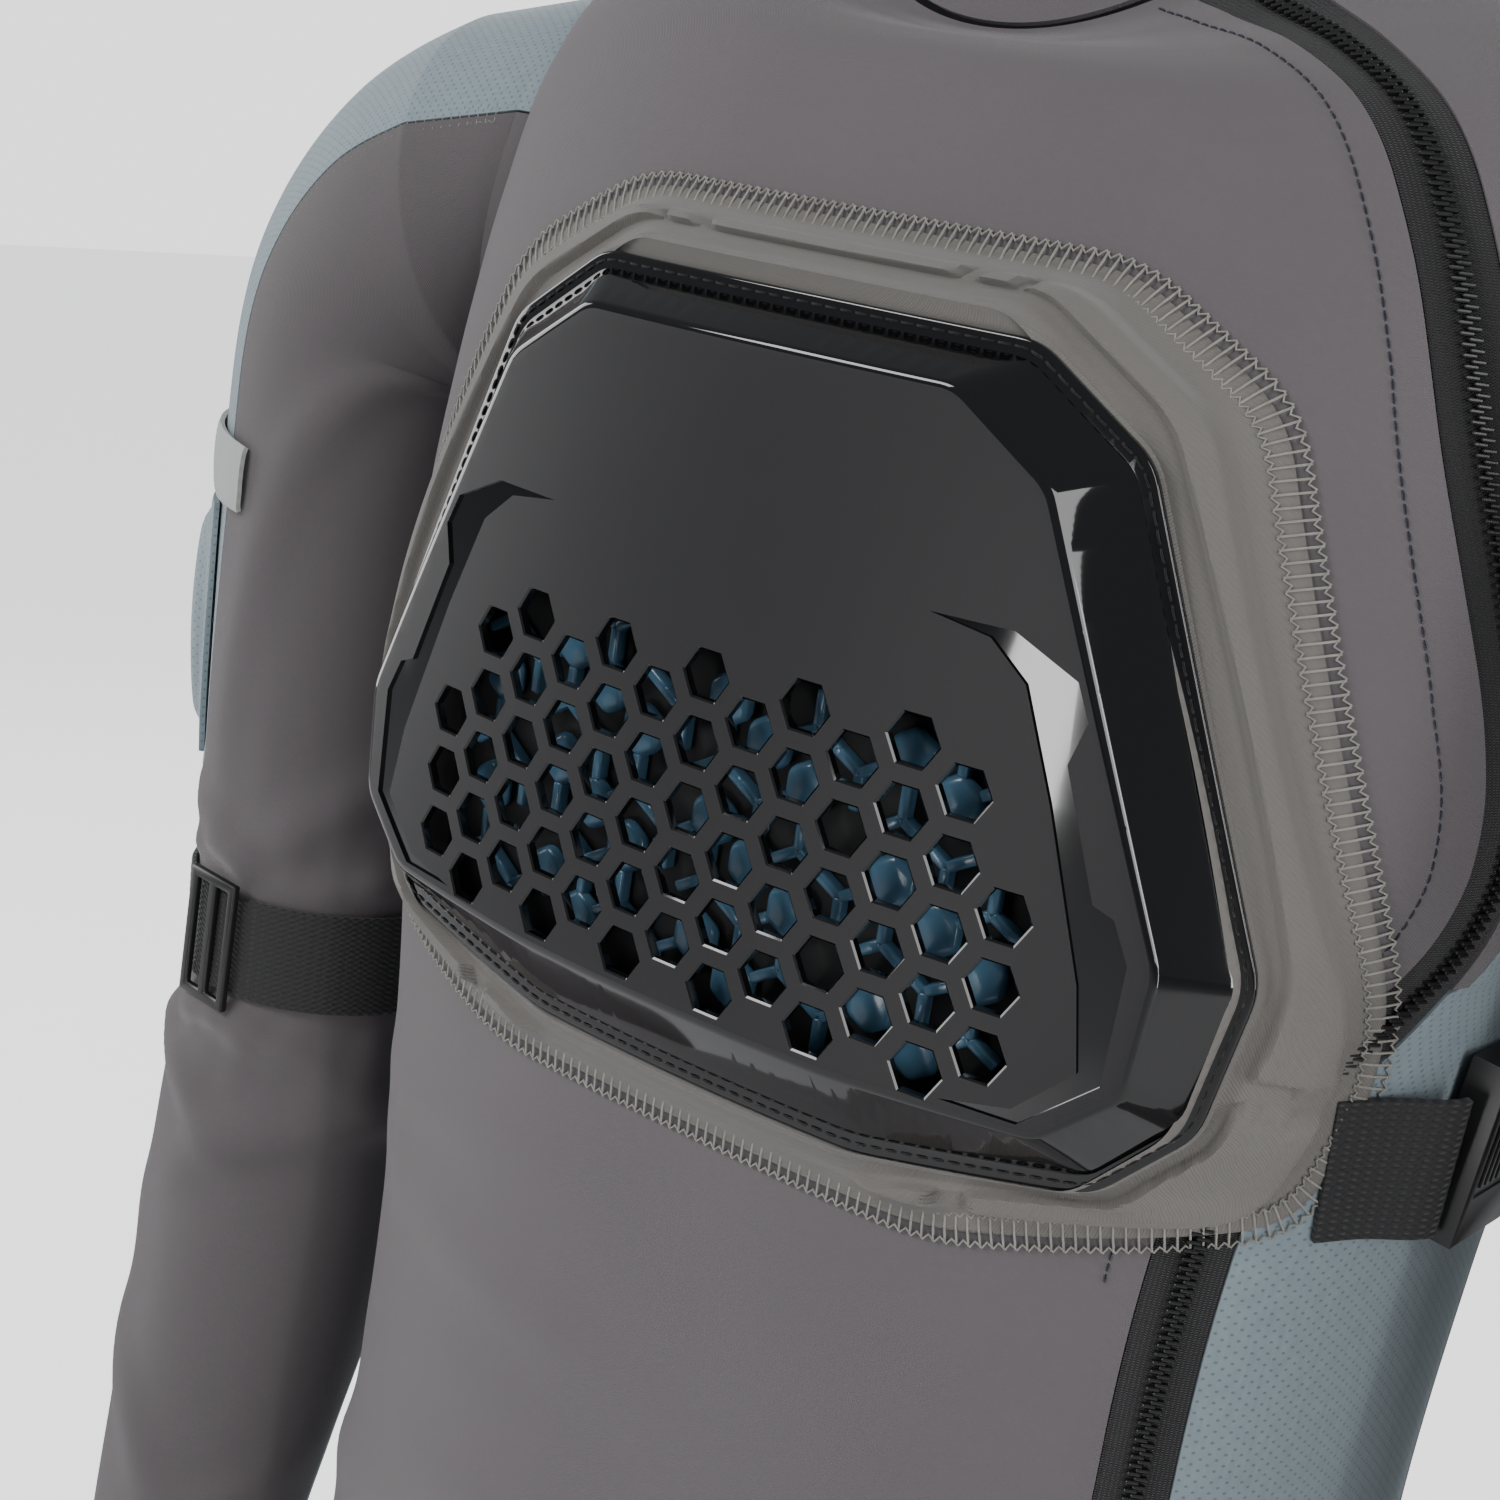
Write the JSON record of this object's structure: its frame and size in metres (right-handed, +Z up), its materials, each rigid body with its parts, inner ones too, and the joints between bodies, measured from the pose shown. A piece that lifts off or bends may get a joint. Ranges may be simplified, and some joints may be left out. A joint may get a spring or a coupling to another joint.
{
  "type": "armored riding shirt",
  "caption": "Long-sleeved grey stretch riding shirt with a vented moulded chest plate on a sewn pad, blue-grey side and sleeve panels, arm pads, elbow straps and a side waist strap.",
  "frame": {"origin": "middle of the neck base, on the line of the shoulders, where the shirt hangs on its wearer or a hanger", "axes": "+Z up, -Y out of the chest, +X to the wearer's left"},
  "size_m": [0.6216, 0.2462, 0.7142],
  "materials": {
    "twill": "grey stretch twill",
    "pad": "moulded fabric over foam",
    "mesh": "blue-grey heather stretch mesh",
    "light": "light grey turned binding",
    "black_plate": "moulded black, matte field and gloss bevel",
    "liner": "steel-blue moulded lattice",
    "webbing": "black woven webbing and tape",
    "plastic": "black moulded buckle, slider and zipper parts"
  },
  "bodies": {
    "root": {"arm_pad_left": "mesh", "arm_pad_right": "mesh", "back_body": "twill", "buckle_socket": "plastic", "buckle_tongue": "plastic", "cap_hem_left": "light", "cap_hem_right": "light", "chest_pad": "pad", "chest_plate": "black_plate", "collar": "twill", "elbow_strap_left": "webbing", "elbow_strap_right": "webbing", "front_body": "twill", "front_left_panel": "twill", "shoulder_cap_left": "mesh", "shoulder_cap_right": "mesh", "side_panel_left": "mesh", "side_panel_right": "mesh", "sleeve_back_left": "twill", "sleeve_back_right": "twill", "sleeve_front_left": "twill", "sleeve_front_right": "twill", "sleeve_strip_left": "mesh", "sleeve_strip_right": "mesh", "sleeve_under_left": "mesh", "sleeve_under_right": "mesh", "strap_slider_left": "plastic", "strap_slider_right": "plastic", "vent_backing": "webbing", "vent_liner": "liner", "waist_strap_front": "webbing", "waist_strap_rear": "webbing", "zipper_pull": "plastic", "zipper_tape": "webbing", "zipper_teeth": "plastic"}
  },
  "joints": []
}
